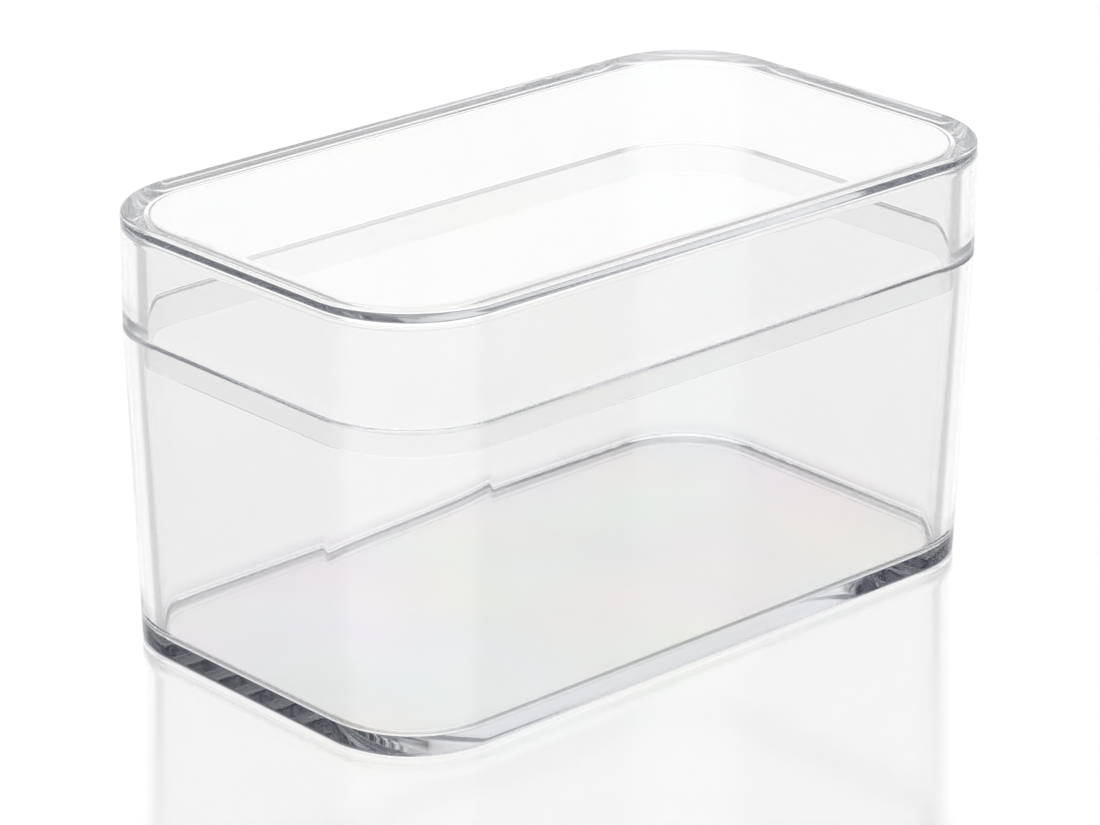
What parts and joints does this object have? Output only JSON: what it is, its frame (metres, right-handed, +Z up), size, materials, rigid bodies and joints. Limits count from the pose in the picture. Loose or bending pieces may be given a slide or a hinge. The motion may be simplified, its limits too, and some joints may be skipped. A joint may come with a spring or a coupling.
{
  "type": "clear storage container with lift-off lid",
  "caption": "Clear moulded plastic storage box with large rounded corners, a flat floor and a deep lift-off lid that plugs into its mouth.",
  "frame": {"origin": "middle of the underside, on the surface the container stands on", "axes": "+X along the length, +Y along the width, +Z up towards the lid"},
  "size_m": [0.174, 0.1, 0.0933],
  "materials": {
    "base_plastic": "clear moulded, polished",
    "lid_plastic": "clear moulded, polished"
  },
  "bodies": {
    "base": {"base": "base_plastic"},
    "lid": {"lid": "lid_plastic"}
  },
  "joints": [
    {"name": "lid_lift", "type": "slide", "parent": "base", "child": "lid", "axis": [0, 0, 1], "range_m": [0, 0.08]}
  ]
}
